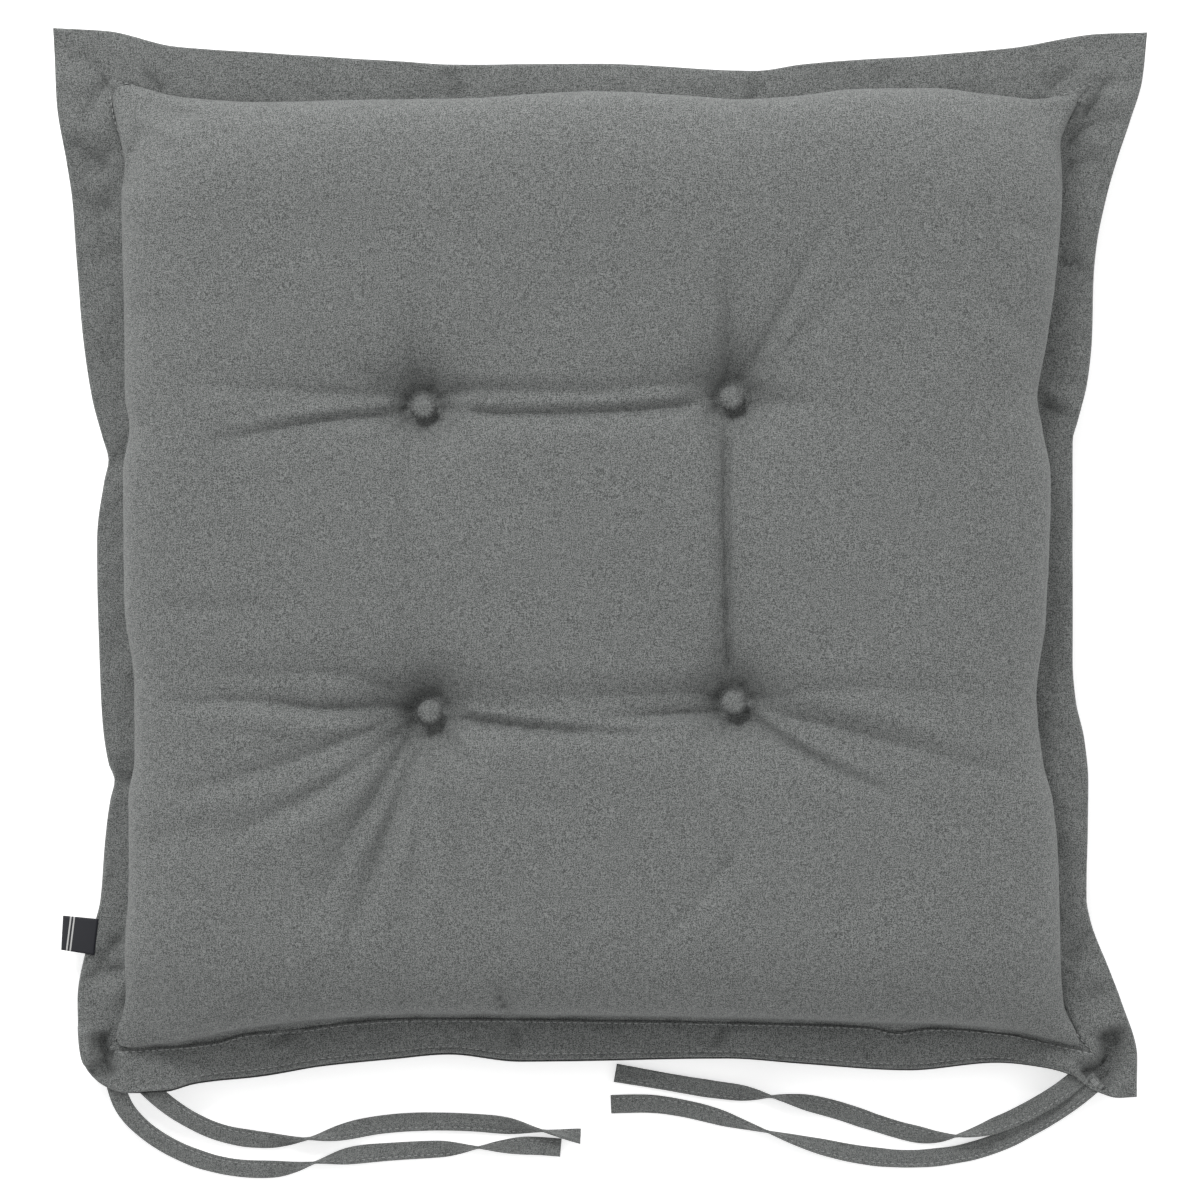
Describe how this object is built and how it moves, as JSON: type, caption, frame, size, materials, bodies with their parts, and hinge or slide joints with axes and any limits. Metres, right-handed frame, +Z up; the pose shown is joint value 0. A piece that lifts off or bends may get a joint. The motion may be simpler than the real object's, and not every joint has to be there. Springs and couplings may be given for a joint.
{
  "type": "chair seat pad",
  "caption": "Square tufted seat pad with a flat flange all round, covered tuft buttons, a woven edge label and pairs of tape ties at its two rear corners.",
  "frame": {"origin": "on the surface that the pad rests on, under the middle of the flange's outline; the free ties are left out of this box", "axes": "+X across the pad, +Y towards its front edge, -Y towards the rear edge with the ties, +Z up through the tufted face"},
  "size_m": [0.5007, 0.5275, 0.06],
  "materials": {
    "cover_cloth": "matte",
    "tie_tape": "matte",
    "button_cloth": "matte",
    "thread": "matte",
    "label": "matte",
    "twine": "matte",
    "wadding": "matte",
    "foam": "matte",
    "button_shell": "satin",
    "button_back": "matte"
  },
  "bodies": {
    "root": {"bar_tacks_left": "thread", "bar_tacks_right": "thread", "body_stitching": "thread", "closing_stitching": "thread", "foam_core": "foam", "label_tail": "label", "tie_tail_left_inner": "tie_tape", "tie_tail_left_outer": "tie_tape", "tie_tail_right_inner": "tie_tape", "tie_tail_right_outer": "tie_tape", "top_cover": "cover_cloth", "twine_front_left": "twine", "twine_front_right": "twine", "twine_rear_left": "twine", "twine_rear_right": "twine", "under_button_back_front_left": "button_back", "under_button_back_front_right": "button_back", "under_button_back_rear_left": "button_back", "under_button_back_rear_right": "button_back", "under_button_cloth_front_left": "button_cloth", "under_button_cloth_front_right": "button_cloth", "under_button_cloth_rear_left": "button_cloth", "under_button_cloth_rear_right": "button_cloth", "under_button_shell_front_left": "button_shell", "under_button_shell_front_right": "button_shell", "under_button_shell_rear_left": "button_shell", "under_button_shell_rear_right": "button_shell", "under_cover": "cover_cloth", "upper_button_back_front_left": "button_back", "upper_button_back_front_right": "button_back", "upper_button_back_rear_left": "button_back", "upper_button_back_rear_right": "button_back", "upper_button_cloth_front_left": "button_cloth", "upper_button_cloth_front_right": "button_cloth", "upper_button_cloth_rear_left": "button_cloth", "upper_button_cloth_rear_right": "button_cloth", "upper_button_shell_front_left": "button_shell", "upper_button_shell_front_right": "button_shell", "upper_button_shell_rear_left": "button_shell", "upper_button_shell_rear_right": "button_shell", "wadding_top": "wadding", "wadding_under": "wadding"},
    "tie_left_inner": {"tie_left_inner": "tie_tape"},
    "tie_left_outer": {"tie_left_outer": "tie_tape"},
    "tie_right_inner": {"tie_right_inner": "tie_tape"},
    "tie_right_outer": {"tie_right_outer": "tie_tape"},
    "label": {"label_flap": "label"}
  },
  "joints": [
    {"name": "tie_left_inner_swing", "type": "hinge", "parent": "root", "child": "tie_left_inner", "pos_m": [-0.1985, -0.247, 0.016], "axis": [0, -1, 0], "range_deg": [-90, 90]},
    {"name": "tie_left_outer_swing", "type": "hinge", "parent": "root", "child": "tie_left_outer", "pos_m": [-0.22, -0.2475, 0.016], "axis": [0, -1, 0], "range_deg": [-90, 90]},
    {"name": "tie_right_inner_swing", "type": "hinge", "parent": "root", "child": "tie_right_inner", "pos_m": [0.1995, -0.247, 0.016], "axis": [0, 1, 0], "range_deg": [-90, 90]},
    {"name": "tie_right_outer_swing", "type": "hinge", "parent": "root", "child": "tie_right_outer", "pos_m": [0.2205, -0.2475, 0.016], "axis": [0, 1, 0], "range_deg": [-90, 90]},
    {"name": "label_flip", "type": "hinge", "parent": "root", "child": "label", "pos_m": [-0.23811, -0.171, 0.016], "axis": [0.141, 0.99, 0], "range_deg": [-80, 80], "stiffness_Nm_per_rad": 0.0008}
  ]
}
